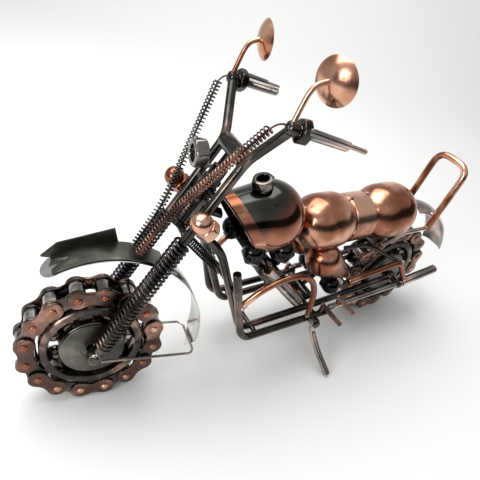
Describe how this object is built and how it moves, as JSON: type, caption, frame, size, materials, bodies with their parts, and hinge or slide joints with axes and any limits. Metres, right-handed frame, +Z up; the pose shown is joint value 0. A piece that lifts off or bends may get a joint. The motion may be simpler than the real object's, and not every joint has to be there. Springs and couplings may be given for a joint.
{
  "type": "model motorcycle",
  "caption": "Small welded-metal model chopper with roller-chain wheels on ball-bearing hubs, coil-spring fork, domed tank and seat shells, and a fold-out kickstand.",
  "frame": {"origin": "on the ground, under the middle of the whole model's box at rest", "axes": "+X to the rear of the motorcycle, +Y to its right-hand side, +Z up"},
  "size_m": [0.3125, 0.0945, 0.1998],
  "materials": {
    "black_nickel": "dark antique nickel plate, rubbed bright and copper-brown on the edges",
    "antique_copper": "antique copper plate, satin, with darker blushes in the hollows",
    "dark_bronze": "dark bronze plate, polished, shading into copper",
    "black_mirror": "black nickel, polished",
    "polished_sheet": "bright sheet",
    "dark_sheet": "dark sheet, satin",
    "bearing_steel": "bearing steel, dull, toned brown"
  },
  "bodies": {
    "frame": {"head_tube": "black_nickel", "neck_brace": "black_nickel", "frame_left": "black_nickel", "frame_right": "black_nickel", "cradle_left": "black_nickel", "cradle_right": "black_nickel", "cross_bars": "black_nickel", "tank_shell": "dark_bronze", "tank_band": "antique_copper", "filler_nut": "dark_bronze", "seat_front": "antique_copper", "seat_ring": "antique_copper", "seat_rear": "antique_copper", "sissy_bar": "antique_copper", "sissy_struts": "antique_copper", "rear_fender": "black_nickel", "engine_shafts": "black_nickel", "dome_nuts": "black_mirror", "kick_bolt": "black_nickel", "case_nuts": "black_nickel", "side_cones": "antique_copper", "crash_bars": "antique_copper", "foot_pegs": "black_nickel", "exhaust_pipes": "black_nickel", "silencers": "antique_copper", "saddle_rods": "antique_copper", "rear_stays": "black_nickel", "rear_axle": "black_nickel", "rear_inner_ring": "bearing_steel", "rear_hub_washers": "dark_sheet", "steering_spring": "black_nickel"},
    "fork": {"fork_left": "black_nickel", "fork_right": "black_nickel", "fork_springs": "black_nickel", "steering_stem": "black_nickel", "bar_riser": "black_nickel", "headlamp_nut": "antique_copper", "turn_signals": "antique_copper", "grip_nuts": "dark_bronze", "grip_bolts": "black_nickel", "levers": "black_nickel", "mirror_stems": "antique_copper", "mirrors": "antique_copper", "cable_springs": "antique_copper", "mudguard": "polished_sheet", "mudguard_strip": "dark_sheet", "number_plate": "dark_sheet", "mudguard_stay": "black_nickel", "front_axle": "black_nickel", "front_inner_ring": "bearing_steel", "front_hub_washers": "dark_sheet"},
    "front_wheel": {"front_chain_plates": "antique_copper", "front_chain_rollers": "bearing_steel", "front_outer_ring": "bearing_steel"},
    "front_ball_set": {"front_balls": "bearing_steel"},
    "rear_wheel": {"rear_chain_plates": "antique_copper", "rear_chain_rollers": "bearing_steel", "rear_outer_ring": "bearing_steel"},
    "rear_ball_set": {"rear_balls": "bearing_steel"},
    "kickstand": {"kickstand": "black_nickel"}
  },
  "joints": [
    {"name": "steering", "type": "hinge", "parent": "frame", "child": "fork", "pos_m": [-0.1185, 0.00395, 0.03751], "axis": [0.515, 0, 0.8572], "range_deg": [-15, 35]},
    {"name": "front_wheel_spin", "type": "hinge", "parent": "fork", "child": "front_wheel", "pos_m": [-0.1185, 0.00395, 0.03751], "axis": [0.1488, 0.9848, -0.0894], "continuous": true},
    {"name": "front_balls_spin", "type": "hinge", "parent": "fork", "child": "front_ball_set", "pos_m": [-0.1185, 0.00395, 0.03751], "axis": [0.1488, 0.9848, -0.0894], "continuous": true},
    {"name": "rear_wheel_spin", "type": "hinge", "parent": "frame", "child": "rear_wheel", "pos_m": [0.0945, 0.00395, 0.03702], "axis": [0, 1, 0], "continuous": true},
    {"name": "rear_balls_spin", "type": "hinge", "parent": "frame", "child": "rear_ball_set", "pos_m": [0.0945, 0.00395, 0.03702], "axis": [0, 1, 0], "continuous": true},
    {"name": "kickstand_fold", "type": "hinge", "parent": "frame", "child": "kickstand", "pos_m": [0.01684, -0.02185, 0.0289], "axis": [0, 1, 0], "range_deg": [-70, 0]}
  ],
  "couplings": [
    {"joint": "front_balls_spin", "follows": "front_wheel_spin", "ratio": 0.6031},
    {"joint": "rear_balls_spin", "follows": "rear_wheel_spin", "ratio": 0.6031}
  ]
}
